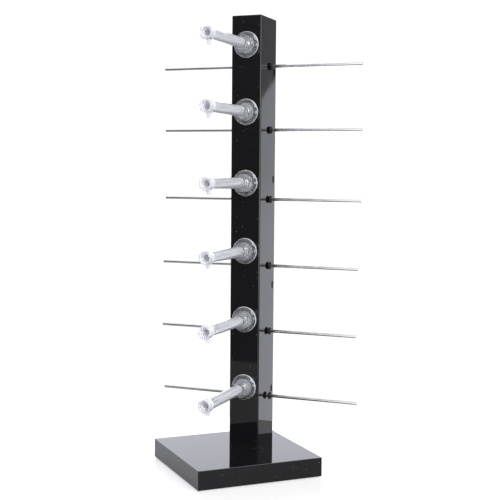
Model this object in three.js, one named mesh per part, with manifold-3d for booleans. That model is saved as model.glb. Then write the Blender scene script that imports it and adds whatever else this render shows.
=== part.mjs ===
// A six-tier counter stand for spectacles and sunglasses: a black gloss column on a square black base,
// six clear pegs that carry the nose bridges and six steel rods that carry the temples.
// Millimetres, +Z up. The origin is the centre of the base's underside. The pegs point along -Y.
import * as THREE from 'three';
import { mergeVertices } from 'three/addons/utils/BufferGeometryUtils.js';
import Module from 'manifold-3d';

const wasm = await Module();
wasm.setup();

// ---- Driving dimensions -------------------------------------------------------------------------

// Clearances between separate pieces.
const seatGap = 0.1;          // between two flat faces that rest on each other
const assemblyGap = 0.3;      // round a piece that slips or snaps into another
const screwGap = 0.2;         // round a screw's shank, on the radius
const rodGap = 0.25;          // round a rod in its hole, on the radius
const ringGrip = 0.15;        // between a rod and its rubber ring, on the radius

// Base: a square block turned 45 degrees, so that one corner points forward.
const baseSide = 131;
const baseThickness = 19;
const baseChamfer = 0.6;
const baseTurn = Math.PI / 4;
const matThickness = 0.8;     // non-slip mat glued under the base
const matInset = 3;

// Column: a channel closed at the front, the sides and the top, and open at the back.
const columnWidth = 32.4;
const columnDepth = 43.7;
const columnHeight = 440;
const columnWall = 2.5;
const columnEdgeRadius = 1.2;
const columnTopChamfer = 0.6;
const columnRearMargin = 27.6;   // from the column's back to the rear corner of the base

// Rear cover, with tongues and lugs that snap into slots in the column's sides.
const coverThickness = 2.5;
const tongueThickness = 2;
const tongueDepth = 9;
const slotHeight = 7;
const slotDepth = 4;
const slotSetback = 6;        // from the column's rear edge to the middle of a slot
const slotCount = 4;          // on each side, evenly spread between the lowest and the highest
const lowestSlot = 52;        // above the base
const highestSlot = 55;       // below the column's top
const lugReach = 1.6;

// Foot block inside the column, and the screws that hold it to the base.
const footBlockHeight = 24;
const baseScrewSpacing = 18;
const baseScrewRadius = 2;
const baseScrewLength = 30;
const baseScrewHeadRadius = 3.8;
const baseScrewHeadHeight = 2.2;

// Tiers, counted from the top and spread evenly between the highest and the lowest of each kind.
const tierCount = 6;
const highestPeg = 29.5;      // below the column's top
const lowestPeg = 59;       // above the base
const highestRod = 49.5;
const lowestRod = 46.5;
// How far above its even place each hole was drilled.
const pegDrift = [0, 2.5, 0.5, 1, 0.5, 0];
const rodDrift = [0, 3.5, 0.5, 0, 0, 0];

// Peg: bell-shaped flange, hub, step, shaft, stop collar with a tab, and end ring. Distances run from
// the column.
const pegLength = 101;
const flangeRadius = 13.2;
const flangeRim = 1.2;
const shoulderRadius = 10.8;
const shoulderHeight = 3.2;
const hubRadius = 8.8;
const hubLength = 8.5;
const stepRadius = 6.8;
const stepLength = 12;
const shaftRadius = 5.5;
const collarRadius = 6.4;
const collarWidth = 2.4;
const collarSetback = 8.6;    // from the peg's end to the middle of the collar
const endRingRadius = 6.7;
const endRingWidth = 2.8;
const endRecessRadius = 4.5;
const endRecessDepth = 3;
const pegBoreRadius = 3;
const pegBoreFloor = 15;      // from the column to the bottom of the bore
const pegChamfer = 0.5;
const tabReach = 10.8;        // from the peg's axis to the end of the tab
const tabRootWidth = 6.4;
const tabEndWidth = 3.6;
const tabThickness = 2;

// Screws that hold the pegs from inside the column.
const pegScrewRadius = 1.7;
const pegScrewBite = 7.5;     // depth of the shank inside the peg
const pegScrewHeadRadius = 3.5;
const pegScrewHeadHeight = 2.4;

// Rods with a rubber ring on each side of the column.
const rodRadius = 1.75;
const rodLength = 218.5;
const rodSetback = 4.1;       // behind the middle of the column
const rodShift = [5.5, 6.5, 6.5, 4, 3, 5.5];   // how far each rod stands off centre, to the right
const ringSection = 2.1;
const ringPlay = 2;           // free play of the two rings against the column
const rightRingGap = [0.3, 0.3, 0.6, 0.3, 0.8, 1.7];   // of that play, the part on the right

// Drive recess of every screw.
const recessWidth = 0.9;
const recessSpan = 3.4;
const recessDepth = 1.3;

const roundSteps = 16;        // flats round a rod, a peg or a hole
const screwSteps = 12;
const ringSteps = 12;
const ringTubeSteps = 8;

// ---- Levels and places that follow from them ----------------------------------------------------

const baseBottom = matThickness;
const baseTop = baseBottom + baseThickness;
const columnBottom = baseTop + seatGap;
const columnRear = baseSide / Math.SQRT2 - columnRearMargin;
const columnFront = columnRear - columnDepth;
const columnMiddle = (columnFront + columnRear) / 2;
const cavityHalfWidth = columnWidth / 2 - columnWall;
const cavityFront = columnFront + columnWall;
const pegFace = columnFront - seatGap;
const footBlockFront = cavityFront + assemblyGap;
const footBlockRear = columnRear - tongueDepth - assemblyGap;
const footBlockMiddle = (footBlockFront + footBlockRear) / 2;
const rodY = columnMiddle + rodSetback;
const ringRadius = rodRadius + ringGrip + ringSection / 2;
const rodHoleRadius = rodRadius + rodGap;
const baseScrewHoles = [-1, 1].map((side) => footBlockMiddle + side * baseScrewSpacing / 2);

// The height of place number index, out of count places spread evenly from the first to the last.
function spread(index, count, first, last) {
  return baseTop + first + (last - first) * index / (count - 1);
}

const pegZ = (tier) =>
  spread(tier, tierCount, columnHeight - highestPeg, lowestPeg) + pegDrift[tier];
const rodZ = (tier) =>
  spread(tier, tierCount, columnHeight - highestRod, lowestRod) + rodDrift[tier];
const slotZ = (slot) => spread(slot, slotCount, lowestSlot, columnHeight - highestSlot);
const tiers = [...Array(tierCount).keys()];
const slots = [...Array(slotCount).keys()];

// ---- Solids -------------------------------------------------------------------------------------

// A closed geometry as a manifold solid.
function solid(geometry) {
  const bare = geometry.index ? geometry.clone() : geometry;
  bare.deleteAttribute('normal');
  bare.deleteAttribute('uv');
  const merged = mergeVertices(bare, 1e-4);
  return new wasm.Manifold(new wasm.Mesh({
    numProp: 3,
    vertProperties: Float32Array.from(merged.attributes.position.array),
    triVerts: Uint32Array.from(merged.index.array),
  }));
}

function geometryOf(manifold) {
  const { vertProperties, triVerts } = manifold.getMesh();
  const geometry = new THREE.BufferGeometry();
  geometry.setAttribute('position', new THREE.BufferAttribute(vertProperties, 3));
  geometry.setIndex(new THREE.BufferAttribute(triVerts, 1));
  geometry.computeVertexNormals();
  return geometry;
}

function joined(geometries) {
  return geometries.map(solid).reduce((whole, piece) => whole.add(piece));
}

function cut(body, tools) {
  return geometryOf(tools.map(solid).reduce((rest, tool) => rest.subtract(tool), solid(body)));
}

// A box between two corners.
function block([x0, y0, z0], [x1, y1, z1]) {
  const box = new THREE.BoxGeometry(x1 - x0, y1 - y0, z1 - z0);
  return box.translate((x0 + x1) / 2, (y0 + y1) / 2, (z0 + z1) / 2);
}

// A round bar along X, Y or Z between two coordinates, centred on the other two.
function bar(axis, from, to, centre, radius, steps = roundSteps) {
  const cylinder = new THREE.CylinderGeometry(radius, radius, to - from, steps);
  if (axis === 'x') cylinder.rotateZ(-Math.PI / 2);
  if (axis === 'z') cylinder.rotateX(Math.PI / 2);
  const middle = (from + to) / 2;
  const [u, v] = centre;
  const place = { x: [middle, u, v], y: [u, middle, v], z: [u, v, middle] }[axis];
  return cylinder.translate(...place);
}

// A profile of [radius, height] points turned about +Z. It starts and ends on the axis.
function turned(profile, steps) {
  const points = profile.map(([radius, height]) => new THREE.Vector2(radius, height));
  return new THREE.LatheGeometry(points, steps).rotateX(Math.PI / 2);
}

// ---- Base ---------------------------------------------------------------------------------------

// A square slab centred on Z, with both horizontal rims chamfered.
function squareSlab(side, bottom, thickness, chamfer) {
  const half = side / 2 - chamfer;
  const outline = new THREE.Shape();
  outline.moveTo(-half, -half);
  outline.lineTo(half, -half);
  outline.lineTo(half, half);
  outline.lineTo(-half, half);
  outline.closePath();
  const slab = new THREE.ExtrudeGeometry(outline, {
    depth: thickness - 2 * chamfer,
    bevelEnabled: chamfer > 0,
    bevelThickness: chamfer,
    bevelSize: chamfer,
    bevelSegments: 1,
  });
  return slab.translate(0, 0, bottom + chamfer).rotateZ(baseTurn);
}

function baseSlab() {
  const shanks = baseScrewHoles.map((y) =>
    bar('z', baseBottom - 1, baseTop + 1, [0, y], baseScrewRadius + screwGap));
  const sinks = baseScrewHoles.map((y) => {
    const wide = baseScrewHeadRadius + assemblyGap;
    const deep = baseScrewHeadHeight + assemblyGap;
    const cone = turned([[0, -1], [wide, -1], [wide, assemblyGap], [baseScrewRadius, deep], [0, deep]],
      roundSteps);
    return cone.translate(0, y, baseBottom);
  });
  return cut(squareSlab(baseSide, baseBottom, baseThickness, baseChamfer), [...shanks, ...sinks]);
}

function baseMat() {
  return squareSlab(baseSide - 2 * matInset, 0, matThickness - seatGap, 0);
}

// ---- Column -------------------------------------------------------------------------------------

function roundedOutline(halfWidth, front, rear, radius) {
  const outline = new THREE.Shape();
  outline.moveTo(-halfWidth + radius, front);
  outline.lineTo(halfWidth - radius, front);
  outline.absarc(halfWidth - radius, front + radius, radius, -Math.PI / 2, 0);
  outline.absarc(halfWidth - radius, rear - radius, radius, 0, Math.PI / 2);
  outline.absarc(-halfWidth + radius, rear - radius, radius, Math.PI / 2, Math.PI);
  outline.absarc(-halfWidth + radius, front + radius, radius, Math.PI, 1.5 * Math.PI);
  return outline;
}

function columnShell() {
  const c = columnTopChamfer;
  const outline = roundedOutline(
    columnWidth / 2 - c, columnFront + c, columnRear - c, columnEdgeRadius - c);
  const body = new THREE.ExtrudeGeometry(outline, {
    depth: columnHeight - c,
    bevelEnabled: true,
    bevelThickness: c,
    bevelSize: c,
    bevelSegments: 1,
    curveSegments: 4,
  }).translate(0, 0, columnBottom);
  // The same chamfer at the bottom end is cut off, so that the column stands on its full section.
  const lowerEnd = block([-columnWidth, columnFront - 1, columnBottom - c - 1],
    [columnWidth, columnRear + 1, columnBottom]);
  const cavity = block(
    [-cavityHalfWidth, cavityFront, columnBottom - 1],
    [cavityHalfWidth, columnRear + 1, columnBottom + columnHeight - columnWall],
  );
  const through = columnWidth / 2 + 1;
  const rodHoles = tiers.map((tier) =>
    bar('x', -through, through, [rodY, rodZ(tier)], rodHoleRadius));
  const pegHoles = tiers.map((tier) =>
    bar('y', columnFront - 1, cavityFront + 1, [0, pegZ(tier)], pegScrewRadius + screwGap));
  const slotCuts = slots.map((slot) => {
    const y = columnRear - slotSetback;
    return block(
      [-through, y - slotDepth / 2, slotZ(slot) - slotHeight / 2],
      [through, y + slotDepth / 2, slotZ(slot) + slotHeight / 2],
    );
  });
  return cut(body, [lowerEnd, cavity, ...rodHoles, ...pegHoles, ...slotCuts]);
}

function columnCover() {
  const halfWidth = cavityHalfWidth - assemblyGap;
  const bottom = columnBottom + assemblyGap;
  const top = columnBottom + columnHeight - columnWall - assemblyGap;
  const panel = block([-halfWidth, columnRear - coverThickness, bottom], [halfWidth, columnRear, top]);
  const sides = [-1, 1].map((side) => {
    const outer = side * halfWidth;
    const inner = side * (halfWidth - tongueThickness);
    return block(
      [Math.min(outer, inner), columnRear - tongueDepth, bottom],
      [Math.max(outer, inner), columnRear, top],
    );
  });
  const lugHalfHeight = slotHeight / 2 - assemblyGap;
  const lugHalfDepth = slotDepth / 2 - assemblyGap;
  const lugs = slots.map((slot) => {
    const y = columnRear - slotSetback;
    return [-1, 1].map((side) => {
      const root = side * (halfWidth - tongueThickness / 2);
      const end = side * (halfWidth + lugReach);
      return block(
        [Math.min(root, end), y - lugHalfDepth, slotZ(slot) - lugHalfHeight],
        [Math.max(root, end), y + lugHalfDepth, slotZ(slot) + lugHalfHeight],
      );
    });
  }).flat();
  return geometryOf(joined([panel, ...sides, ...lugs]));
}

function footBlock() {
  const halfWidth = cavityHalfWidth - assemblyGap;
  const body = block(
    [-halfWidth, footBlockFront, columnBottom],
    [halfWidth, footBlockRear, columnBottom + footBlockHeight],
  );
  const holes = baseScrewHoles.map((y) => bar('z', columnBottom - 1,
    columnBottom + footBlockHeight + 1, [0, y], baseScrewRadius + screwGap));
  return cut(body, holes);
}

// ---- Screws -------------------------------------------------------------------------------------

// A screw along +Z whose shank starts at height 0 and whose head lies below it.
function screw(shankRadius, shankLength, headProfile, headHeight) {
  const profile = [
    ...headProfile,
    [shankRadius, 0],
    [shankRadius, shankLength - shankRadius],
    [0, shankLength],
  ];
  const body = turned(profile, screwSteps);
  const half = recessSpan / 2;
  const thin = recessWidth / 2;
  const floor = -headHeight + recessDepth;
  return cut(body, [
    block([-half, -thin, -headHeight - 1], [half, thin, floor]),
    block([-thin, -half, -headHeight - 1], [thin, half, floor]),
  ]);
}

function baseScrew() {
  const head = [[0, -baseScrewHeadHeight], [baseScrewHeadRadius, -baseScrewHeadHeight]];
  return screw(baseScrewRadius, baseScrewLength - baseScrewHeadHeight, head, baseScrewHeadHeight);
}

function pegScrew() {
  const r = pegScrewHeadRadius;
  const h = pegScrewHeadHeight;
  const head = [[0, -h], [r * 0.6, -h], [r * 0.9, -h * 0.75], [r, -h * 0.4], [r, 0]];
  return screw(pegScrewRadius, columnWall + pegScrewBite, head, h);
}

// ---- Pegs, rods and rings -----------------------------------------------------------------------

// The peg stands along +Z from the column's face, with its tab along -Y.
function pegBody() {
  const c = pegChamfer;
  const pilotRadius = pegScrewRadius + screwGap;
  const pilotDepth = pegScrewBite + seatGap + assemblyGap;
  const collarBack = pegLength - collarSetback - collarWidth / 2;
  const collarFront = collarBack + collarWidth;
  const ringBack = pegLength - endRingWidth;
  const recessFloor = pegLength - endRecessDepth;
  const body = turned([
    [0, pilotDepth], [pilotRadius, pilotDepth], [pilotRadius, 0],
    [flangeRadius, 0], [flangeRadius, flangeRim], [shoulderRadius, shoulderHeight],
    [hubRadius, shoulderHeight],
    [hubRadius, hubLength - c], [hubRadius - c, hubLength], [stepRadius, hubLength],
    [stepRadius, stepLength - c], [shaftRadius, stepLength],
    [shaftRadius, collarBack], [collarRadius, collarBack + c],
    [collarRadius, collarFront - c], [shaftRadius, collarFront],
    [shaftRadius, ringBack], [endRingRadius, ringBack + c],
    [endRingRadius, pegLength - c], [endRingRadius - c, pegLength],
    [endRecessRadius, pegLength], [endRecessRadius, recessFloor],
    [pegBoreRadius, recessFloor], [pegBoreRadius, pegBoreFloor], [0, pegBoreFloor],
  ], roundSteps);
  const tabRoot = (pegBoreRadius + shaftRadius) / 2;
  const tabOutline = new THREE.Shape();
  tabOutline.moveTo(-tabRootWidth / 2, -tabRoot);
  tabOutline.lineTo(-tabEndWidth / 2, -tabReach);
  tabOutline.lineTo(tabEndWidth / 2, -tabReach);
  tabOutline.lineTo(tabRootWidth / 2, -tabRoot);
  tabOutline.closePath();
  const tab = new THREE.ExtrudeGeometry(tabOutline, { depth: tabThickness, bevelEnabled: false });
  tab.translate(0, 0, pegLength - collarSetback - tabThickness / 2);
  return geometryOf(joined([body, tab]));
}

function rod() {
  return new THREE.CylinderGeometry(rodRadius, rodRadius, rodLength, roundSteps).rotateZ(Math.PI / 2);
}

function ring() {
  const tube = new THREE.TorusGeometry(ringRadius, ringSection / 2, ringTubeSteps, ringSteps);
  return tube.rotateY(Math.PI / 2);
}

// ---- Materials ----------------------------------------------------------------------------------

const blackGloss = () => new THREE.MeshStandardMaterial({ color: 0x08080a, roughness: 0.08 });
const blackFoam = () => new THREE.MeshStandardMaterial({ color: 0x101010, roughness: 0.95 });
const blackRubber = () => new THREE.MeshStandardMaterial({ color: 0x0b0b0c, roughness: 0.7 });
const innerPlastic = () => new THREE.MeshStandardMaterial({ color: 0x1c1c1e, roughness: 0.5 });
const polishedSteel = () =>
  new THREE.MeshStandardMaterial({ color: 0xc8c8cc, roughness: 0.12, metalness: 1 });
const zincSteel = () =>
  new THREE.MeshStandardMaterial({ color: 0xa8abb0, roughness: 0.4, metalness: 1 });
const clearPlastic = () => new THREE.MeshStandardMaterial({
  color: 0xe4e4f2, roughness: 0.08, transparent: true, opacity: 0.4,
});

// ---- Assembly -----------------------------------------------------------------------------------

const stand = new THREE.Group();

function add(name, geometry, material, parent = stand) {
  const mesh = new THREE.Mesh(geometry, material);
  mesh.name = name;
  parent.add(mesh);
  return mesh;
}

add('base_mat', baseMat(), blackFoam());
add('base_slab', baseSlab(), blackGloss());
add('column_shell', columnShell(), blackGloss());
add('column_rear_cover', columnCover(), blackGloss());
add('column_foot_block', footBlock(), innerPlastic());

baseScrewHoles.forEach((y, index) => {
  const fastener = add(`base_screw_${index + 1}`, baseScrew(), zincSteel());
  fastener.position.set(0, y, baseBottom + baseScrewHeadHeight + assemblyGap);
});

tiers.forEach((tier) => {
  const number = tier + 1;

  const peg = add(`nose_peg_${number}`, pegBody(), clearPlastic());
  peg.rotation.x = Math.PI / 2;
  peg.position.set(0, pegFace, pegZ(tier));

  const fastener = add(`peg_screw_${number}`, pegScrew(), zincSteel());
  fastener.rotation.x = Math.PI / 2;
  fastener.position.set(0, cavityFront + seatGap, pegZ(tier));

  const rest = new THREE.Group();
  rest.position.set(0, rodY, rodZ(tier));
  stand.add(rest);
  add(`temple_rod_${number}`, rod(), polishedSteel(), rest).position.x = rodShift[tier];
  const rightFace = columnWidth / 2 + rightRingGap[tier];
  const leftFace = -columnWidth / 2 - (ringPlay - rightRingGap[tier]);
  add(`rod_ring_right_${number}`, ring(), blackRubber(), rest).position.x = rightFace + ringSection / 2;
  add(`rod_ring_left_${number}`, ring(), blackRubber(), rest).position.x = leftFace - ringSection / 2;
});

export default stand;
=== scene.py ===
"""A six-tier counter stand for glasses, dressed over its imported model.

Metres, +Z up. The pegs point along -Y and the rods run along X. Each section below is one piece or one
group of like pieces, in the order in which the stand is put together; the studio comes last.
"""

import math

import bmesh
import bpy
from mathutils import Matrix, Vector


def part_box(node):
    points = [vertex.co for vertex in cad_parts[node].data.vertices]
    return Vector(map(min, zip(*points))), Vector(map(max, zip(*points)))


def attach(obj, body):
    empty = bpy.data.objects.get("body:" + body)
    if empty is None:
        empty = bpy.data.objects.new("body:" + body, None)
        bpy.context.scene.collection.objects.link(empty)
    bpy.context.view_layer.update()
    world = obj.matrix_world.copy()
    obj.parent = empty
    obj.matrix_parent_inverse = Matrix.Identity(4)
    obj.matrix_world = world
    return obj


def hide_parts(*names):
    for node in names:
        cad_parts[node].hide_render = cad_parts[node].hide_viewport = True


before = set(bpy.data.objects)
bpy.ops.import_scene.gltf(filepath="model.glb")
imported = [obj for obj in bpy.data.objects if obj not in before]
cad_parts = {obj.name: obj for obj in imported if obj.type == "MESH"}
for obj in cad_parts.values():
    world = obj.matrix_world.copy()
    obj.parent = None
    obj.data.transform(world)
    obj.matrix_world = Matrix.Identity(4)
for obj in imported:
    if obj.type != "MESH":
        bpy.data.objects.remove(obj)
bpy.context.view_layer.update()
MM = 0.001


# ---- Base slab -----------------------------------------------------------------------------------------
# A square of thick black cast acrylic, sawn, flame polished on its four sides and turned 45 degrees, so
# that one corner points forward. Two countersunk holes in its underside take the column's screws.

SLAB_SIDE = 131 * MM
SLAB_EDGE = 0.35 * MM
SLAB_TURN = math.radians(45)
BASE_SCREW_RADIUS = 2 * MM
BASE_SCREW_HEAD_RADIUS = 3.8 * MM
BASE_SCREW_HEAD_HEIGHT = 2.2 * MM
SCREW_CLEARANCE = 0.2 * MM
SINK_CLEARANCE = 0.3 * MM
SINK_LENGTH = 25 * MM


def linked(name, bm):
    """A new object from a bmesh, with its normals pointing out."""
    bmesh.ops.recalc_face_normals(bm, faces=bm.faces)
    mesh = bpy.data.meshes.new(name)
    bm.to_mesh(mesh)
    bm.free()
    piece = bpy.data.objects.new(name, mesh)
    bpy.context.scene.collection.objects.link(piece)
    return piece


def settled(piece):
    """Replaces a piece's mesh with the result of its modifiers, and removes them."""
    bpy.context.view_layer.update()
    graph = bpy.context.evaluated_depsgraph_get()
    made = bpy.data.meshes.new_from_object(piece.evaluated_get(graph), depsgraph=graph)
    piece.modifiers.clear()
    piece.data = made
    made.name = piece.name
    return piece


def block(name, low, high):
    """A box between two corners."""
    bm = bmesh.new()
    bmesh.ops.create_cube(bm, size=1)
    low, high = Vector(low), Vector(high)
    place = Matrix.Translation((low + high) / 2) @ Matrix.Diagonal((*(high - low), 1))
    bmesh.ops.transform(bm, verts=bm.verts, matrix=place)
    return linked(name, bm)


def turned(name, profile, steps, turn=Matrix.Identity(4)):
    """A profile of (radius, height) points turned about Z; points on the axis close it."""
    bm = bmesh.new()
    verts = [bm.verts.new((r, 0, z)) for r, z in profile]
    for a, b in zip(verts, verts[1:]):
        bm.edges.new((a, b))
    bmesh.ops.spin(bm, geom=bm.verts[:] + bm.edges[:], cent=(0, 0, 0), axis=(0, 0, 1),
                   angle=2 * math.pi, steps=steps, use_merge=True)
    bmesh.ops.remove_doubles(bm, verts=bm.verts, dist=1e-7)
    bmesh.ops.transform(bm, verts=bm.verts, matrix=turn)
    return linked(name, bm)


def combined(piece, tools, operation):
    """Joins tools to a piece or cuts them out of it, one at a time, and deletes them."""
    for tool in tools:
        step = piece.modifiers.new("combine", "BOOLEAN")
        step.operation = operation
        step.solver = "EXACT"
        step.object = tool
    settled(piece)
    for tool in tools:
        bpy.data.objects.remove(tool)
    return piece


def softened(piece, width, segments=3, sharp=35):
    """Rounds a piece's sharp edges by width and shades it smooth, with its flat faces kept flat."""
    edge = piece.modifiers.new("edge", "BEVEL")
    edge.width = width
    edge.segments = segments
    edge.limit_method = "ANGLE"
    edge.angle_limit = math.radians(sharp)
    edge.miter_outer = "MITER_ARC"
    settled(piece)
    shaded(piece)
    return piece


def shaded(piece, sharp=40):
    """Smooth shading that follows curved faces and leaves flat ones flat."""
    for face in piece.data.polygons:
        face.use_smooth = True
    piece.data.set_sharp_from_angle(angle=math.radians(sharp))
    flat = piece.modifiers.new("flat faces", "WEIGHTED_NORMAL")
    flat.keep_sharp = True
    settled(piece)
    return piece


def node_group(name, inputs, outputs):
    """An empty shader node group with named float inputs (name, default) and named outputs."""
    group = bpy.data.node_groups.new(name, "ShaderNodeTree")
    for label, default in inputs:
        socket = group.interface.new_socket(label, in_out="INPUT", socket_type="NodeSocketFloat")
        socket.default_value = default
    for label in outputs:
        group.interface.new_socket(label, in_out="OUTPUT", socket_type="NodeSocketFloat")
    return group, group.nodes.new("NodeGroupInput"), group.nodes.new("NodeGroupOutput")


def wired(tree, kind, settings=None, **inputs):
    """A node with its settings and its inputs, each input a value or another node's output socket."""
    node = tree.nodes.new(kind)
    for name, value in (settings or {}).items():
        setattr(node, name, value)
    for name, value in inputs.items():
        by_number = name[0] == "i" and name[1:].isdigit()
        socket = node.inputs[int(name[1:]) if by_number else name.replace("_", " ")]
        if isinstance(value, bpy.types.NodeSocket):
            tree.links.new(value, socket)
        else:
            socket.default_value = value
    return node


def maths(tree, operation, first, second=0.0, third=0.0):
    """One Math node's output."""
    return wired(tree, "ShaderNodeMath", {"operation": operation}, i0=first, i1=second, i2=third).outputs[0]


def stretched(tree, scale):
    """Object coordinates scaled by three factors."""
    spot = wired(tree, "ShaderNodeTexCoord").outputs["Object"]
    return wired(tree, "ShaderNodeMapping", Vector=spot, Scale=scale).outputs["Vector"]


def settled_dust():
    """Mask of sparse round dust specks. Each cell has one place for a speck, and a share has one."""
    group, given, result = node_group(
        "settled_dust", [("Cells per metre", 300), ("Share", 0.2), ("Speck", 0.12)], ["Mask"])
    spot = wired(group, "ShaderNodeTexCoord").outputs["Object"]
    cells = wired(group, "ShaderNodeTexVoronoi", Vector=spot, Scale=given.outputs["Cells per metre"])
    near = maths(group, "LESS_THAN", cells.outputs["Distance"], given.outputs["Speck"])
    chosen = wired(group, "ShaderNodeSeparateColor", Color=cells.outputs["Color"]).outputs["Red"]
    kept = maths(group, "LESS_THAN", chosen, given.outputs["Share"])
    group.links.new(maths(group, "MULTIPLY", near, kept), result.inputs["Mask"])
    return group


def polish_marks():
    """Height and haze of a polished sheet: slow waves, fine wiping scratches and a cloudy film."""
    group, given, result = node_group(
        "polish_marks", [("Waves per metre", 18), ("Wave height", 0.6), ("Scratch height", 0.03)],
        ["Height", "Haze"])
    spot = wired(group, "ShaderNodeTexCoord").outputs["Object"]
    waves = wired(group, "ShaderNodeTexNoise", Vector=spot, Scale=given.outputs["Waves per metre"],
                  Detail=1.5).outputs[0]
    scratches = wired(group, "ShaderNodeTexNoise", Vector=stretched(group, (900, 900, 22)), Scale=1,
                      Detail=3).outputs[0]
    fine = wired(group, "ShaderNodeMapRange", Value=scratches, From_Min=0.56, From_Max=0.72).outputs[0]
    film = wired(group, "ShaderNodeTexNoise", Vector=spot, Scale=45, Detail=5).outputs[0]
    lifted = maths(group, "MULTIPLY", waves, given.outputs["Wave height"])
    group.links.new(maths(group, "MULTIPLY_ADD", fine, given.outputs["Scratch height"], lifted),
                    result.inputs["Height"])
    group.links.new(maths(group, "MULTIPLY_ADD", fine, 0.5, film), result.inputs["Haze"])
    return group


DUST = settled_dust()
MARKS = polish_marks()


def new_material(name, **sockets):
    """A material with one Principled BSDF, whose own sockets take the even values."""
    material = bpy.data.materials.new(name)
    material.use_nodes = True
    shader = material.node_tree.nodes["Principled BSDF"]
    for label, value in sockets.items():
        shader.inputs[label.replace("_", " ")].default_value = value
    return material, material.node_tree, shader


def grouped(tree, group, **inputs):
    """A copy of a shader node group in a material, with its values."""
    node = tree.nodes.new("ShaderNodeGroup")
    node.node_tree = group
    for name, value in inputs.items():
        node.inputs[name.replace("_", " ")].default_value = value
    return node


def coloured(tree, shader, factor, first, second):
    """Gives a surface a colour that goes from one to another with a factor."""
    mix = tree.nodes.new("ShaderNodeMix")
    mix.data_type = "RGBA"
    tree.links.new(factor, mix.inputs[0])
    mix.inputs[6].default_value = (*first, 1)
    mix.inputs[7].default_value = (*second, 1)
    tree.links.new(mix.outputs[2], shader.inputs["Base Color"])


def bumped(tree, shader, height, distance):
    """Gives a surface a bump from a height between 0 and 1, where 1 stands distance proud."""
    bump = wired(tree, "ShaderNodeBump", Height=height, Distance=distance)
    tree.links.new(bump.outputs["Normal"], shader.inputs["Normal"])


def black_acrylic(name, wave_height):
    """Polished black acrylic: deep black, faint film and scratches, a little settled dust."""
    material, tree, shader = new_material(name, IOR=1.5)
    marks = grouped(tree, MARKS, Wave_height=wave_height)
    dust = grouped(tree, DUST)
    coloured(tree, shader, dust.outputs["Mask"], (0.0045, 0.0045, 0.005), (0.10, 0.10, 0.105))
    smooth = wired(tree, "ShaderNodeMapRange", Value=marks.outputs["Haze"], From_Min=0.3, From_Max=1.1,
                   To_Min=0.015, To_Max=0.075).outputs[0]
    tree.links.new(maths(tree, "MULTIPLY_ADD", dust.outputs["Mask"], 0.5, smooth),
                   shader.inputs["Roughness"])
    bumped(tree, shader, marks.outputs["Height"], 0.03 * MM)
    return material


slab_low, slab_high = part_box("base_slab")
slab_half = SLAB_SIDE / 2
base_slab = block("base_block", (-slab_half, -slab_half, slab_low.z), (slab_half, slab_half, slab_high.z))
base_slab.data.transform(Matrix.Rotation(SLAB_TURN, 4, "Z"))
base_screw_spots = []
for number in (1, 2):
    low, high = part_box(f"base_screw_{number}")
    base_screw_spots.append(Vector((0, (low.y + high.y) / 2, low.z)))
sinks = []
for spot in base_screw_spots:
    wide, deep = BASE_SCREW_HEAD_RADIUS + SINK_CLEARANCE, BASE_SCREW_HEAD_HEIGHT + SINK_CLEARANCE
    shank = BASE_SCREW_RADIUS + SCREW_CLEARANCE
    profile = [(0, -MM), (wide, -MM), (wide, 0), (shank, deep), (shank, SINK_LENGTH), (0, SINK_LENGTH)]
    place = Matrix.Translation((spot.x, spot.y, slab_low.z))
    sinks.append(turned("sink", profile, 32, place))
combined(base_slab, sinks, "DIFFERENCE")
softened(base_slab, SLAB_EDGE)
base_slab.data.materials.append(black_acrylic("base_acrylic", 0.5))
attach(base_slab, "stand")
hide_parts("base_slab")


# ---- Base mat ------------------------------------------------------------------------------------------
# A die-cut sheet of black closed-cell foam, glued under the slab a few millimetres inside its edge. It
# hides the screw heads and keeps the stand from sliding.

MAT_EDGE = 0.15 * MM


def cell_foam():
    """Skinned closed-cell foam, with small open cells."""
    material, tree, shader = new_material("cell_foam", Roughness=0.9, IOR=1.4)
    spot = wired(tree, "ShaderNodeTexCoord").outputs["Object"]
    cells = wired(tree, "ShaderNodeTexVoronoi", Vector=spot, Scale=1400).outputs["Distance"]
    open_cell = wired(tree, "ShaderNodeMapRange", Value=cells, From_Min=0.1, From_Max=0.6)
    coloured(tree, shader, open_cell.outputs[0], (0.008, 0.008, 0.008), (0.03, 0.03, 0.03))
    bumped(tree, shader, cells, 0.2 * MM)
    return material


mat_low, mat_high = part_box("base_mat")
mat_half = mat_high.x / math.sqrt(2)
base_mat = block("foam_mat", (-mat_half, -mat_half, mat_low.z), (mat_half, mat_half, mat_high.z))
base_mat.data.transform(Matrix.Rotation(SLAB_TURN, 4, "Z"))
softened(base_mat, MAT_EDGE, segments=2)
base_mat.data.materials.append(cell_foam())
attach(base_mat, "stand")
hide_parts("base_mat")


# ---- Column --------------------------------------------------------------------------------------------
# A tall black gloss channel, closed at the front, the sides and the top, with small rounded edges. It
# is drilled through its sides for the rods and through its front for the pegs' screws, and its sides have
# four snap slots each, near the rear edge.

COLUMN_WALL = 2.5 * MM
COLUMN_EDGE = 1.2 * MM
COLUMN_RIM = 1 * MM
COLUMN_HOLE_EDGE = 0.25 * MM
ROD_HOLE_RADIUS = 2 * MM
ROD_DRILL_LENGTH = 40 * MM
PEG_SCREW_HOLE_RADIUS = 1.9 * MM
PEG_DRILL_LENGTH = 10 * MM
SLOT_DEPTH = 4 * MM
SLOT_HEIGHT = 7 * MM
SLOT_SETBACK = 6 * MM
SLOT_CUTTER_REACH = 20 * MM
SLOT_COUNT = 4
LOWEST_SLOT = 52 * MM
HIGHEST_SLOT = 55 * MM
TIERS = range(1, 7)
ALONG_X = Matrix.Rotation(math.radians(90), 4, "Y")
TOWARDS_FRONT = Matrix.Rotation(math.radians(90), 4, "X")


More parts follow.
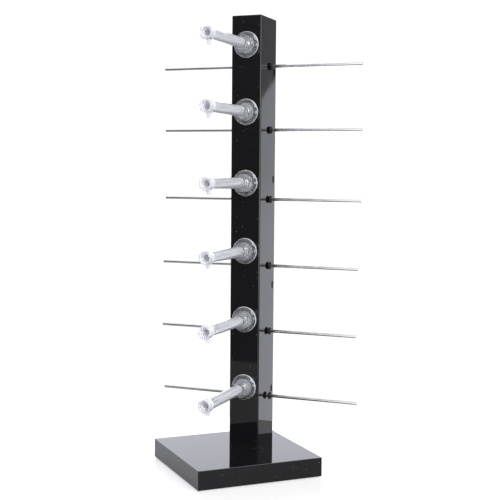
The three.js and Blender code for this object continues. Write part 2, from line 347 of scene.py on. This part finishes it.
def rounded_post(name, low, high, radius, rim, steps):
    """A post between two corners, with its upright edges rounded by radius and its top edge by rim."""
    bm = bmesh.new()
    ring = []
    corners = [(high.x, high.y, 0), (low.x, high.y, 90), (low.x, low.y, 180), (high.x, low.y, 270)]
    for x, y, start in corners:
        centre_x = x - math.copysign(radius, x)
        centre_y = y - radius if y == high.y else y + radius
        for step in range(steps + 1):
            angle = math.radians(start + 90 * step / steps)
            spot = (centre_x + radius * math.cos(angle), centre_y + radius * math.sin(angle), low.z)
            ring.append(bm.verts.new(spot))
    floor = bm.faces.new(ring)
    lifted = bmesh.ops.extrude_face_region(bm, geom=[floor])
    top = [item for item in lifted["geom"] if isinstance(item, bmesh.types.BMVert)]
    bmesh.ops.translate(bm, verts=top, vec=(0, 0, high.z - low.z))
    edges = [edge for edge in bm.edges if edge.verts[0] in top and edge.verts[1] in top]
    bmesh.ops.bevel(bm, geom=edges, offset=rim, segments=5, profile=0.5, affect="EDGES")
    return linked(name, bm)


def drill(centre, direction, radius, length):
    """A round cutter through a centre, upright unless a direction turns it."""
    profile = [(0, -length / 2), (radius, -length / 2), (radius, length / 2), (0, length / 2)]
    return turned("drill", profile, 32, Matrix.Translation(centre) @ direction)


def middle(node):
    """The middle of a node's box."""
    low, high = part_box(node)
    return (low + high) / 2


shell_low, shell_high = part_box("column_shell")
cavity_half = shell_high.x - COLUMN_WALL
slot_y = shell_high.y - SLOT_SETBACK
slot_floor, slot_top = slab_high.z + LOWEST_SLOT, slab_high.z + shell_high.z - shell_low.z - HIGHEST_SLOT
slot_heights = [slot_floor + (slot_top - slot_floor) * i / (SLOT_COUNT - 1) for i in range(SLOT_COUNT)]

column = rounded_post("column_channel", shell_low, shell_high, COLUMN_EDGE, COLUMN_RIM, 10)
cutters = [block("cavity", (-cavity_half, shell_low.y + COLUMN_WALL, shell_low.z - MM),
                 (cavity_half, shell_high.y + MM, shell_high.z - COLUMN_WALL))]
for tier in TIERS:
    rod_spot = middle(f"temple_rod_{tier}")
    cutters.append(drill((0, rod_spot.y, rod_spot.z), ALONG_X, ROD_HOLE_RADIUS, ROD_DRILL_LENGTH))
    peg_spot = middle(f"peg_screw_{tier}")
    cutters.append(drill((0, shell_low.y, peg_spot.z), TOWARDS_FRONT, PEG_SCREW_HOLE_RADIUS,
                         PEG_DRILL_LENGTH))
for height in slot_heights:
    cutters.append(block("slot", (-SLOT_CUTTER_REACH, slot_y - SLOT_DEPTH / 2, height - SLOT_HEIGHT / 2),
                         (SLOT_CUTTER_REACH, slot_y + SLOT_DEPTH / 2, height + SLOT_HEIGHT / 2)))
combined(column, cutters, "DIFFERENCE")
softened(column, COLUMN_HOLE_EDGE, segments=2, sharp=50)
column.data.materials.append(black_acrylic("column_acrylic", 1.0))
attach(column, "stand")
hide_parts("column_shell")


# ---- Foot block and base screws ------------------------------------------------------------------------
# A sawn block of black plastic bonded inside the channel's foot. Two countersunk steel screws come up
# through the slab into it and pull the column down.

FOOT_EDGE = 0.4 * MM
FOOT_DRILL_LENGTH = 40 * MM
BASE_SCREW_LENGTH = 30 * MM
SCREW_TIP_RADIUS = 0.3 * MM
RECESS_WIDTH = 0.9 * MM
RECESS_SPAN = 3.6 * MM
RECESS_DEPTH = 1.3 * MM
THREAD_PITCH = 0.7 * MM
THREAD_DEPTH = 0.18 * MM


def sawn_plastic():
    """Black plastic with the even marks of a saw."""
    material, tree, shader = new_material("sawn_plastic", Roughness=0.5, IOR=1.5)
    grain = wired(tree, "ShaderNodeTexNoise", Vector=stretched(tree, (60, 60, 2500)), Scale=1,
                  Detail=2).outputs[0]
    coloured(tree, shader, grain, (0.02, 0.02, 0.022), (0.05, 0.05, 0.055))
    bumped(tree, shader, grain, 0.06 * MM)
    return material


def zinc_plate():
    """Bright zinc on a cold-headed screw, a little cloudy."""
    material, tree, shader = new_material("zinc_plate", Metallic=1.0)
    spot = wired(tree, "ShaderNodeTexCoord").outputs["Object"]
    cloud = wired(tree, "ShaderNodeTexNoise", Vector=spot, Scale=700, Detail=4).outputs[0]
    coloured(tree, shader, cloud, (0.5, 0.51, 0.54), (0.66, 0.67, 0.68))
    rough = wired(tree, "ShaderNodeMapRange", Value=cloud, To_Min=0.2, To_Max=0.42)
    tree.links.new(rough.outputs[0], shader.inputs["Roughness"])
    return material


def screw(name, head, shank_radius, length):
    """A screw along +Z with a ridged shank from height 0 up, its head below, and a cross recess."""
    ridges = []
    turn = 0.0
    while turn < length - 2.5 * shank_radius:
        ridges += [(shank_radius - THREAD_DEPTH, turn), (shank_radius, turn + THREAD_PITCH / 2)]
        turn += THREAD_PITCH
    tip = [(shank_radius - THREAD_DEPTH, turn), (SCREW_TIP_RADIUS, length), (0, length)]
    body = turned(name, [*head, *ridges, *tip], 28)
    bottom = head[0][1]
    half, thin = RECESS_SPAN / 2, RECESS_WIDTH / 2
    arms = [block("arm", (-a, -b, bottom - MM), (a, b, bottom + RECESS_DEPTH))
            for a, b in ((half, thin), (thin, half))]
    combined(body, arms, "DIFFERENCE")
    return shaded(body)


def geometry_tree(name, output, **inputs):
    """An empty Geometry Nodes tree with named inputs, each of its own kind, and one geometry output."""
    tree = bpy.data.node_groups.new(name, "GeometryNodeTree")
    for label, kind in inputs.items():
        tree.interface.new_socket(label.replace("_", " "), in_out="INPUT", socket_type=f"NodeSocket{kind}")
    tree.interface.new_socket(output, in_out="OUTPUT", socket_type="NodeSocketGeometry")
    return tree, tree.nodes.new("NodeGroupInput"), tree.nodes.new("NodeGroupOutput")


def placing_tree():
    """Geometry Nodes: sets a copy of a piece on every point of the object, as one real mesh. Each face
    takes the finish whose number it carries in the attribute "finish", and the first where there is none."""
    tree, given, result = geometry_tree(
        "set_in_place", "Set", Places="Geometry", Piece="Object", Turn="Vector", Finish="Material",
        Second_finish="Material", Third_finish="Material")
    piece = wired(tree, "GeometryNodeObjectInfo", Object=given.outputs["Piece"])
    set_out = wired(tree, "GeometryNodeInstanceOnPoints", Points=given.outputs["Places"],
                    Instance=piece.outputs["Geometry"], Rotation=given.outputs["Turn"])
    real = wired(tree, "GeometryNodeRealizeInstances", Geometry=set_out.outputs["Instances"])
    finished = wired(tree, "GeometryNodeSetMaterial", Geometry=real.outputs["Geometry"],
                     Material=given.outputs["Finish"])
    number = wired(tree, "GeometryNodeInputNamedAttribute", {"data_type": "FLOAT"}, Name="finish")
    for label, limit in (("Second finish", 0.5), ("Third finish", 1.5)):
        above = maths(tree, "GREATER_THAN", number.outputs["Attribute"], limit)
        finished = wired(tree, "GeometryNodeSetMaterial", Geometry=finished.outputs["Geometry"],
                         Selection=above, Material=given.outputs[label])
    tree.links.new(finished.outputs["Geometry"], result.inputs["Set"])
    return tree


def given_inputs(modifier, **values):
    """Sets a Geometry Nodes modifier's inputs by their names in the tree."""
    for item in modifier.node_group.interface.items_tree:
        if item.in_out == "INPUT" and item.name.replace(" ", "_") in values:
            modifier[item.identifier] = values[item.name.replace(" ", "_")]


def set_in_places(name, piece, spots, turn, first, second=None, third=None):
    """One mesh of a piece repeated at spots. The single piece is used up."""
    bm = bmesh.new()
    for spot in spots:
        bm.verts.new(spot)
    whole = linked(name, bm)
    modifier = whole.modifiers.new("set in place", "NODES")
    modifier.node_group = PLACING
    given_inputs(modifier, Piece=piece, Turn=turn, Finish=first, Second_finish=second, Third_finish=third)
    settled(whole)
    bpy.data.objects.remove(piece)
    return shaded(whole)


PLACING = placing_tree()
ZINC = zinc_plate()

block_low, block_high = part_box("column_foot_block")
foot = block("foot_block", block_low, block_high)
holes = [drill((spot.x, spot.y, middle("column_foot_block").z), Matrix.Identity(4),
               BASE_SCREW_RADIUS + SCREW_CLEARANCE, FOOT_DRILL_LENGTH) for spot in base_screw_spots]
combined(foot, holes, "DIFFERENCE")
softened(foot, FOOT_EDGE, segments=2)
foot.data.materials.append(sawn_plastic())
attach(foot, "stand")
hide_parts("column_foot_block")

base_head = [(0, 0), (BASE_SCREW_HEAD_RADIUS, 0), (BASE_SCREW_RADIUS, BASE_SCREW_HEAD_HEIGHT)]
base_screw = screw("base_screw", base_head, BASE_SCREW_RADIUS, BASE_SCREW_LENGTH)
base_screws = set_in_places("base_screws", base_screw, base_screw_spots, (0, 0, 0), ZINC)
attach(base_screws, "stand")
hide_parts("base_screw_1", "base_screw_2")


# ---- Pegs ----------------------------------------------------------------------------------------------
# Six clear pegs, moulded hollow in one piece: a round flange against the column, a hub and a step, a plain
# shaft, a stop collar with a tab that points down, and an end ring round a shallow recess. The bore has come
# out cloudy; the back of the hub and the tip are frosted by the mould. The flange's rim takes the same milky
# finish as a painted highlight, which stands in for the thin bright line of light that its clear edge
# gathers.

PEG_LENGTH = 101 * MM
FLANGE_RADIUS = 13.2 * MM
FLANGE_RIM = 1.2 * MM
SHOULDER_RADIUS = 10.8 * MM
SHOULDER_HEIGHT = 3.2 * MM
HUB_RADIUS = 8.8 * MM
HUB_LENGTH = 8.5 * MM
STEP_RADIUS = 6.8 * MM
STEP_LENGTH = 12 * MM
SHAFT_RADIUS = 5.5 * MM
COLLAR_RADIUS = 6.4 * MM
COLLAR_WIDTH = 2.4 * MM
COLLAR_SETBACK = 8.6 * MM
END_RING_RADIUS = 6.7 * MM
END_RING_WIDTH = 2.8 * MM
END_RECESS_RADIUS = 4.5 * MM
END_RECESS_DEPTH = 3 * MM
BORE_RADIUS = 3 * MM
BORE_FLOOR = 15 * MM
PILOT_RADIUS = 1.9 * MM
PILOT_DEPTH = 7.9 * MM
TAB_REACH = 10.8 * MM
TAB_ROOT_WIDTH = 6.4 * MM
TAB_END_WIDTH = 3.6 * MM
TAB_THICKNESS = 2 * MM
TAB_EDGE = 0.6 * MM
COLLAR_BACK = PEG_LENGTH - COLLAR_SETBACK - COLLAR_WIDTH / 2
# Finish numbers. The third is frost on the hub's back and the tip, and a painted highlight on the flange's
# rim.
CLEAR, CLOUDY, FROSTED_AND_RIM_HIGHLIGHT = 0, 1, 2


def filleted(corners, steps=4):
    """A profile whose corners (radius, height, fillet) are rounded by arcs of the fillet's radius."""
    made = []
    for index, (r, z, fillet) in enumerate(corners):
        here = Vector((r, z))
        if not fillet or index in (0, len(corners) - 1):
            made.append((r, z))
            continue
        before = Vector(corners[index - 1][:2]) - here
        after = Vector(corners[index + 1][:2]) - here
        reach = min(fillet, before.length * 0.48, after.length * 0.48)
        start, end = here + before.normalized() * reach, here + after.normalized() * reach
        for step in range(steps + 1):
            t = step / steps
            made.append(tuple(start * (1 - t) ** 2 + here * 2 * t * (1 - t) + end * t ** 2))
    return made


def peg_profile():
    """Half of a peg's section, from the pilot hole round the outside to the floor of the bore."""
    collar_front = COLLAR_BACK + COLLAR_WIDTH
    ring_back = PEG_LENGTH - END_RING_WIDTH
    recess_floor = PEG_LENGTH - END_RECESS_DEPTH
    return filleted([
        (0, PILOT_DEPTH, 0), (PILOT_RADIUS, PILOT_DEPTH, 0.3 * MM), (PILOT_RADIUS, 0, 0.3 * MM),
        (HUB_RADIUS, 0, 0), (FLANGE_RADIUS, 0, 0.3 * MM), (FLANGE_RADIUS, FLANGE_RIM, 0.6 * MM),
        (SHOULDER_RADIUS, SHOULDER_HEIGHT, 1.0 * MM), (HUB_RADIUS, SHOULDER_HEIGHT - 0.4 * MM, 0.7 * MM),
        (HUB_RADIUS, HUB_LENGTH, 0.9 * MM), (STEP_RADIUS, HUB_LENGTH - 0.4 * MM, 0.6 * MM),
        (STEP_RADIUS, STEP_LENGTH - 0.5 * MM, 0.9 * MM), (SHAFT_RADIUS, STEP_LENGTH + 1.2 * MM, 1.6 * MM),
        (SHAFT_RADIUS, COLLAR_BACK, 0.4 * MM),
        (COLLAR_RADIUS, COLLAR_BACK + 0.3 * MM, 0.5 * MM),
        (COLLAR_RADIUS, collar_front - 0.3 * MM, 0.5 * MM),
        (SHAFT_RADIUS, collar_front, 0.4 * MM), (SHAFT_RADIUS, ring_back, 0.4 * MM),
        (END_RING_RADIUS, ring_back + 0.3 * MM, 0.5 * MM), (END_RING_RADIUS, PEG_LENGTH, 0.7 * MM),
        (END_RECESS_RADIUS, PEG_LENGTH, 0.4 * MM), (END_RECESS_RADIUS, recess_floor, 0.4 * MM),
        (BORE_RADIUS, recess_floor, 0.3 * MM), (BORE_RADIUS, BORE_FLOOR, 0.9 * MM), (0, BORE_FLOOR, 0),
    ])


def stop_tab():
    """The collar's tab along -Y, which narrows from its root inside the shaft's wall to its end."""
    tab_root = (BORE_RADIUS + SHAFT_RADIUS) / 2
    bm = bmesh.new()
    outline = [(TAB_ROOT_WIDTH / 2, -tab_root), (-TAB_ROOT_WIDTH / 2, -tab_root),
               (-TAB_END_WIDTH / 2, -TAB_REACH), (TAB_END_WIDTH / 2, -TAB_REACH)]
    floor = bm.faces.new([bm.verts.new((x, y, PEG_LENGTH - COLLAR_SETBACK - TAB_THICKNESS / 2))
                          for x, y in outline])
    lifted = bmesh.ops.extrude_face_region(bm, geom=[floor])
    top = [item for item in lifted["geom"] if isinstance(item, bmesh.types.BMVert)]
    bmesh.ops.translate(bm, verts=top, vec=(0, 0, TAB_THICKNESS))
    return softened(linked("tab", bm), TAB_EDGE)


def moulded_peg():
    """One peg along +Z from the column's face. Its faces carry the number of their finish."""
    body = turned("peg", peg_profile(), 72)
    combined(body, [stop_tab()], "UNION")
    shaded(body, sharp=60)
    finish = body.data.attributes.new("finish", "FLOAT", "FACE")
    for face, mark in zip(body.data.polygons, finish.data):
        radius, height = math.hypot(face.center.x, face.center.y), face.center.z
        in_bore = radius < BORE_RADIUS + 0.2 * MM and height > BORE_FLOOR - 0.1 * MM
        # The rim's milky band is a painted highlight: it stands in for the bright line of light at the clear
        # edge.
        painted_rim_highlight = radius > FLANGE_RADIUS - 0.4 * MM and height > 0.3 * MM
        behind_hub = radius < HUB_RADIUS and height < 0.1 * MM
        at_tip = height > COLLAR_BACK - 0.5 * MM
        mark.value = FROSTED_AND_RIM_HIGHLIGHT if painted_rim_highlight or behind_hub or at_tip else CLOUDY if in_bore else CLEAR
    return body


def hazy_plastic(name, clarity, tint, smoothest):
    """Moulded styrene with a faint violet tint and slow flow lines along the peg. Clarity is the share of
    light that goes through it instead of coming back milky."""
    material, tree, shader = new_material(name, Transmission_Weight=clarity, IOR=1.5)
    flow = wired(tree, "ShaderNodeTexNoise", Vector=stretched(tree, (520, 9, 520)), Scale=1,
                 Detail=2).outputs[0]
    streak = wired(tree, "ShaderNodeMapRange", Value=flow, From_Min=0.35, From_Max=0.7).outputs[0]
    coloured(tree, shader, streak, [0.84 * part for part in tint], tint)
    specks = grouped(tree, DUST, Cells_per_metre=500, Share=0.12, Speck=0.14)
    rough = wired(tree, "ShaderNodeMapRange", Value=flow, To_Min=smoothest,
                  To_Max=smoothest + 0.08).outputs[0]
    tree.links.new(maths(tree, "MULTIPLY_ADD", specks.outputs["Mask"], 0.3, rough),
                   shader.inputs["Roughness"])
    bumped(tree, shader, flow, 0.15 * MM)
    return material


peg_spots = []
for tier in TIERS:
    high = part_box(f"nose_peg_{tier}")[1]
    peg_spots.append(Vector((0, high.y, high.z - FLANGE_RADIUS)))
QUARTER_TURN = (math.radians(90), 0, 0)
clear_skin = hazy_plastic("clear_skin", 0.95, (0.92, 0.93, 0.97), 0.01)
cloudy_bore = hazy_plastic("cloudy_bore", 0.1, (0.98, 0.98, 0.99), 0.3)
# The third finish: frost on the hub's back and the tip, and a painted highlight on the flange's rim.
frosted_face = hazy_plastic("frosted_face", 0.5, (0.92, 0.93, 0.985), 0.3)
nose_pegs = set_in_places("nose_pegs", moulded_peg(), peg_spots, QUARTER_TURN, clear_skin, cloudy_bore,
                          frosted_face)
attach(nose_pegs, "stand")
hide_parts(*(f"nose_peg_{tier}" for tier in TIERS))


# ---- Peg screws ----------------------------------------------------------------------------------------
# Six pan-head steel screws, driven from inside the channel through its front wall into the pegs' hubs.

PEG_SCREW_RADIUS = 1.7 * MM
PEG_SCREW_LENGTH = 10 * MM
PAN_RADIUS = 3.5 * MM
PAN_HEIGHT = 2.4 * MM

pan = filleted([(0, -PAN_HEIGHT, 0), (PAN_RADIUS, -PAN_HEIGHT, 1.3 * MM), (PAN_RADIUS, 0, 0.2 * MM)])
peg_screw = screw("peg_screw", pan, PEG_SCREW_RADIUS, PEG_SCREW_LENGTH)
screw_spots = []
for tier in TIERS:
    low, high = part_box(f"peg_screw_{tier}")
    screw_spots.append(Vector((0, high.y - PAN_HEIGHT, (low.z + high.z) / 2)))
peg_screws = set_in_places("peg_screws", peg_screw, screw_spots, QUARTER_TURN, ZINC)
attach(peg_screws, "stand")
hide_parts(*(f"peg_screw_{tier}" for tier in TIERS))


# ---- Rear cover ----------------------------------------------------------------------------------------
# A moulded black strip that closes the channel's back. A tongue along each side carries four lugs, which
# snap into the channel's slots, so it comes off for the pegs and their screws.

COVER_THICKNESS = 2.5 * MM
TONGUE_THICKNESS = 2 * MM
COVER_EDGE = 0.25 * MM
LUG_GAP = 0.3 * MM

cover_low, cover_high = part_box("column_rear_cover")
cover_half = cavity_half - LUG_GAP
rear_cover = block("rear_cover", (-cover_half, cover_high.y - COVER_THICKNESS, cover_low.z),
                   (cover_half, cover_high.y, cover_high.z))
half_depth, half_height = SLOT_DEPTH / 2 - LUG_GAP, SLOT_HEIGHT / 2 - LUG_GAP
rails = []
for side in (-1, 1):
    edges = sorted((side * cover_half, side * (cover_half - TONGUE_THICKNESS)))
    rails.append(block("tongue", (edges[0], cover_low.y, cover_low.z),
                       (edges[1], cover_high.y, cover_high.z)))
    for height in slot_heights:
        reach = sorted((side * (cover_half - TONGUE_THICKNESS / 2), side * cover_high.x))
        rails.append(block("lug", (reach[0], slot_y - half_depth, height - half_height),
                           (reach[1], slot_y + half_depth, height + half_height)))
combined(rear_cover, rails, "UNION")
softened(rear_cover, COVER_EDGE, segments=2, sharp=50)
rear_cover.data.materials.append(black_acrylic("cover_plastic", 1.4))
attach(rear_cover, "stand")
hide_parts("column_rear_cover")


# ---- Rods ----------------------------------------------------------------------------------------------
# Six straight lengths of bright plated steel wire, one through each pair of side holes. They were drawn
# through a die, cut to length and lightly deburred.

ROD_RADIUS = 1.75 * MM
ROD_CHAMFER = 0.25 * MM


def plated_wire():
    """Bright plating over drawn wire: fine lines along it, and a little cloud."""
    material, tree, shader = new_material("plated_wire", Metallic=1.0)
    lines = wired(tree, "ShaderNodeTexNoise", Vector=stretched(tree, (9, 2600, 2600)), Scale=1,
                  Detail=3).outputs[0]
    spot = wired(tree, "ShaderNodeTexCoord").outputs["Object"]
    cloud = wired(tree, "ShaderNodeTexNoise", Vector=spot, Scale=120, Detail=4).outputs[0]
    coloured(tree, shader, cloud, (0.62, 0.62, 0.63), (0.76, 0.76, 0.77))
    rough = wired(tree, "ShaderNodeMapRange", Value=lines, To_Min=0.03, To_Max=0.12).outputs[0]
    tree.links.new(maths(tree, "MULTIPLY_ADD", cloud, 0.05, rough), shader.inputs["Roughness"])
    bumped(tree, shader, lines, 0.01 * MM)
    return material


def rod_tree():
    """Geometry Nodes: a round rod along X."""
    tree, given, result = geometry_tree(
        "cut_rod", "Rod", Length="Float", Radius="Float", Middle="Vector", Finish="Material")
    bar = wired(tree, "GeometryNodeMeshCylinder", Vertices=32, Radius=given.outputs["Radius"],
                Depth=given.outputs["Length"])
    laid = wired(tree, "GeometryNodeTransform", Geometry=bar.outputs["Mesh"],
                 Translation=given.outputs["Middle"], Rotation=(0, math.radians(90), 0))
    real = wired(tree, "GeometryNodeRealizeInstances", Geometry=laid.outputs["Geometry"])
    finished = wired(tree, "GeometryNodeSetMaterial", Geometry=real.outputs["Geometry"],
                     Material=given.outputs["Finish"])
    tree.links.new(finished.outputs["Geometry"], result.inputs["Rod"])
    return tree


def grown(name, tree, **inputs):
    """A new piece made by a Geometry Nodes tree from its inputs alone."""
    piece = linked(name, bmesh.new())
    modifier = piece.modifiers.new("grown", "NODES")
    modifier.node_group = tree
    given_inputs(modifier, **inputs)
    return settled(piece)


ROD_TREE = rod_tree()
WIRE = plated_wire()

for tier in TIERS:
    low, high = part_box(f"temple_rod_{tier}")
    rod = grown(f"rod_{tier}", ROD_TREE, Length=high.x - low.x, Radius=ROD_RADIUS, Middle=(low + high) / 2,
                Finish=WIRE)
    softened(rod, ROD_CHAMFER, segments=2)
    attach(rod, f"rod_{tier}")
    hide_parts(f"temple_rod_{tier}")


# ---- Rubber rings --------------------------------------------------------------------------------------
# Two moulded rubber rings grip each rod, one outside each side of the column, and stop it from sliding
# out.

RING_SECTION = 2.15 * MM
RING_BORE = 1.77 * MM


def moulded_rubber():
    """Matt black rubber, faintly greyed by its release powder."""
    material, tree, shader = new_material("moulded_rubber", IOR=1.3)
    spot = wired(tree, "ShaderNodeTexCoord").outputs["Object"]
    powder = wired(tree, "ShaderNodeTexNoise", Vector=spot, Scale=900, Detail=4).outputs[0]
    coloured(tree, shader, powder, (0.003, 0.003, 0.0033), (0.009, 0.009, 0.0095))
    rough = wired(tree, "ShaderNodeMapRange", Value=powder, To_Min=0.5, To_Max=0.75)
    tree.links.new(rough.outputs[0], shader.inputs["Roughness"])
    bumped(tree, shader, powder, 0.03 * MM)
    return material


def ring_tree():
    """Geometry Nodes: a pair of rings round an X axis, one at each of two places."""
    tree, given, result = geometry_tree(
        "ring_pair", "Rings", Bore="Float", Section="Float", Left="Vector", Right="Vector",
        Finish="Material")
    half = maths(tree, "MULTIPLY", given.outputs["Section"], 0.5)
    round_path = wired(tree, "GeometryNodeCurvePrimitiveCircle", {"mode": "RADIUS"}, Resolution=40,
                       Radius=maths(tree, "ADD", given.outputs["Bore"], half))
    section = wired(tree, "GeometryNodeCurvePrimitiveCircle", {"mode": "RADIUS"}, Resolution=20, Radius=half)
    tube = wired(tree, "GeometryNodeCurveToMesh", Curve=round_path.outputs["Curve"],
                 Profile_Curve=section.outputs["Curve"])
    upright = wired(tree, "GeometryNodeTransform", Geometry=tube.outputs["Mesh"],
                    Rotation=(0, math.radians(90), 0))
    places = wired(tree, "GeometryNodeMeshLine", {"mode": "END_POINTS"}, Count=2,
                   Start_Location=given.outputs["Left"], Offset=given.outputs["Right"])
    pair = wired(tree, "GeometryNodeInstanceOnPoints", Points=places.outputs["Mesh"],
                 Instance=upright.outputs["Geometry"])
    real = wired(tree, "GeometryNodeRealizeInstances", Geometry=pair.outputs["Instances"])
    finished = wired(tree, "GeometryNodeSetMaterial", Geometry=real.outputs["Geometry"],
                     Material=given.outputs["Finish"])
    tree.links.new(finished.outputs["Geometry"], result.inputs["Rings"])
    return tree


RING_TREE = ring_tree()
RUBBER = moulded_rubber()

for tier in TIERS:
    rings = grown(f"rings_{tier}", RING_TREE, Bore=RING_BORE, Section=RING_SECTION, Finish=RUBBER,
                  Left=middle(f"rod_ring_left_{tier}"), Right=middle(f"rod_ring_right_{tier}"))
    shaded(rings)
    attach(rings, f"rod_{tier}")
    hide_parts(f"rod_ring_left_{tier}", f"rod_ring_right_{tier}")


# ---- Studio --------------------------------------------------------------------------------------------
# A glossy white table sheet that ends a little way in front of and behind the stand, inside a dim room.
# The sweep behind is bright up to a slanted edge. A card stands in front, and a strip light and, higher up,
# a soft box at the front right. The sheet is shown overexposed.

SHEET_FRONT = -0.51
SHEET_BACK = 0.2
SHEET_HALF_WIDTH = 1.7
SHEET_WHITE = (0.36, 0.36, 0.362, 1)
SHEET_OVEREXPOSURE = 0.55
SHEET_ROUGHNESS = 0.12
SWEEP_LIGHT = (1.36, 1.38, 1.5)
SWEEP_DIM_LIGHT = [0.68 * part for part in SWEEP_LIGHT]
SWEEP_BRIGHT_LIGHT = [1.49 * part for part in SWEEP_LIGHT]
SWEEP_LOW_SHARE = 0.33
SWEEP_EDGE_AHEAD = 0.572
SWEEP_EDGE_SLOPE = -1.4
SWEEP_EDGE_TOP = 0.48
OVERHEAD_LIGHT = (1.35, 1.35, 1.37)
SOFT_BOX_LIGHT = (8.0, 8.0, 8.1)
CARD_LIGHT = (2.2, 2.2, 2.22)
CARD_BEARINGS = (-17.5, 12)
STRIP_LIGHT = (6.0, 6.0, 6.05)
STRIP_BEARINGS = (30, 70)
EDGE_BLUR = math.radians(3)
ROOM_LIGHT = (0.12, 0.12, 0.13)
HIGH_ROOM_LIGHT = [1.6 * part for part in ROOM_LIGHT]
REAR_ROOM_LIGHT = [2.4 * part for part in ROOM_LIGHT]
PLAIN_WHITE = (1.1, 1.1, 1.1, 1)
CAMERA_PLACE = Vector((0.3993, -0.9725, 0.3017))
CAMERA_YAW = math.radians(21.61)
CAMERA_PITCH = math.radians(4.284)
CAMERA_ROLL = math.radians(0.461)
CAMERA_LENS = 75.18


def table_sheet():
    """Glossy white sheet, seen slightly overexposed."""
    bm = bmesh.new()
    corners = [(-SHEET_HALF_WIDTH, SHEET_FRONT), (SHEET_HALF_WIDTH, SHEET_FRONT),
               (SHEET_HALF_WIDTH, SHEET_BACK), (-SHEET_HALF_WIDTH, SHEET_BACK)]
    bm.faces.new([bm.verts.new((x, y, 0)) for x, y in corners])
    sheet = linked("table_sheet", bm)
    material, tree, shader = new_material("table_white", Base_Color=SHEET_WHITE, Roughness=SHEET_ROUGHNESS,
                                          IOR=1.5, Emission_Color=(1, 1, 1, 1))
    seen_directly = wired(tree, "ShaderNodeLightPath").outputs["Is Camera Ray"]
    tree.links.new(maths(tree, "MULTIPLY", seen_directly, SHEET_OVEREXPOSURE),
                   shader.inputs["Emission Strength"])
    sheet.data.materials.append(material)


def studio_room():
    """What the surfaces see round them, by direction. The camera itself sees plain white."""
    world = bpy.data.worlds.new("studio_room")
    bpy.context.scene.world = world
    world.use_nodes = True
    tree = world.node_tree
    tree.nodes.clear()
    way = wired(tree, "ShaderNodeTexCoord").outputs["Generated"]
    x, y, z = wired(tree, "ShaderNodeSeparateXYZ", Vector=way).outputs
    round_about = maths(tree, "ARCTAN2", x, maths(tree, "MULTIPLY", y, -1.0))

    def ramp(value, start, end):
        """0 before start and 1 after end, or the other way round when end is the smaller."""
        node = wired(tree, "ShaderNodeMapRange", {"interpolation_type": "SMOOTHSTEP"}, Value=value)
        low, high = sorted((start, end))
        for socket, number in zip(node.inputs[1:5], (low, high, *((0, 1) if start < end else (1, 0)))):
            socket.default_value = number
        return node.outputs[0]

    def sector(left, right):
        """1 between two bearings from the front, in degrees."""
        left, right = math.radians(left), math.radians(right)
        return maths(tree, "MULTIPLY", ramp(round_about, left - EDGE_BLUR, left + EDGE_BLUR),
                     ramp(round_about, right + EDGE_BLUR, right - EDGE_BLUR))

    def lit(share, light, over):
        """A light at a share, over what is already there."""
        mix = tree.nodes.new("ShaderNodeMix")
        mix.data_type = "RGBA"
        tree.links.new(share, mix.inputs[0])
        if isinstance(over, bpy.types.NodeSocket):
            tree.links.new(over, mix.inputs[6])
        else:
            mix.inputs[6].default_value = (*over, 1)
        mix.inputs[7].default_value = (*light, 1)
        return mix.outputs[2]

    slant = maths(tree, "MULTIPLY_ADD", x, SWEEP_EDGE_SLOPE, SWEEP_EDGE_AHEAD)
    edge = maths(tree, "MINIMUM", slant, SWEEP_EDGE_TOP)
    sweep = maths(tree, "MULTIPLY", ramp(maths(tree, "SUBTRACT", edge, z), -0.001, 0.002),
                  ramp(y, -0.15, 0.15))
    low_part = maths(tree, "MULTIPLY", ramp(z, 0.05, -0.06), SWEEP_LOW_SHARE)
    bright_end = maths(tree, "MAXIMUM", ramp(x, 0.75, -0.95), low_part)
    card = maths(tree, "MULTIPLY", sector(*CARD_BEARINGS), ramp(z, 0.65, 0.45))
    strip = maths(tree, "MULTIPLY", sector(*STRIP_BEARINGS), ramp(z, 0.2, 0.13))
    strip = maths(tree, "MULTIPLY", strip, ramp(z, -0.16, -0.06))
    soft_box = maths(tree, "MULTIPLY", ramp(x, 0.38, 0.46), ramp(z, 0.4, 0.5))
    soft_box = maths(tree, "MULTIPLY", soft_box, ramp(y, 0.03, -0.03))
    seen = lit(ramp(z, 0.0, 0.25), HIGH_ROOM_LIGHT, ROOM_LIGHT)
    seen = lit(ramp(y, 0.3, 0.7), REAR_ROOM_LIGHT, seen)
    seen = lit(ramp(z, 0.55, 0.85), OVERHEAD_LIGHT, seen)
    seen = lit(sweep, SWEEP_DIM_LIGHT, seen)
    seen = lit(maths(tree, "MULTIPLY", sweep, bright_end), SWEEP_BRIGHT_LIGHT, seen)
    for share, light in ((card, CARD_LIGHT), (strip, STRIP_LIGHT), (soft_box, SOFT_BOX_LIGHT)):
        seen = lit(share, light, seen)
    room = wired(tree, "ShaderNodeBackground", Color=seen)
    plain = wired(tree, "ShaderNodeBackground", Color=PLAIN_WHITE)
    mix = wired(tree, "ShaderNodeMixShader", i0=wired(tree, "ShaderNodeLightPath").outputs["Is Camera Ray"],
                i1=room.outputs[0], i2=plain.outputs[0])
    wired(tree, "ShaderNodeOutputWorld", Surface=mix.outputs[0])


def camera():
    """The eye at the front right, a little above the middle of the column."""
    data = bpy.data.cameras.new("camera")
    data.sensor_width = 36
    data.lens = CAMERA_LENS
    eye = bpy.data.objects.new("camera", data)
    ahead = math.cos(CAMERA_PITCH)
    aim = Vector((-math.sin(CAMERA_YAW) * ahead, math.cos(CAMERA_YAW) * ahead, -math.sin(CAMERA_PITCH)))
    turn = aim.to_track_quat("-Z", "Y").to_matrix() @ Matrix.Rotation(CAMERA_ROLL, 3, "Z")
    eye.matrix_world = Matrix.Translation(CAMERA_PLACE) @ turn.to_4x4()
    bpy.context.scene.collection.objects.link(eye)
    bpy.context.scene.camera = eye


table_sheet()
studio_room()
camera()
bpy.context.scene.view_settings.view_transform = "Standard"
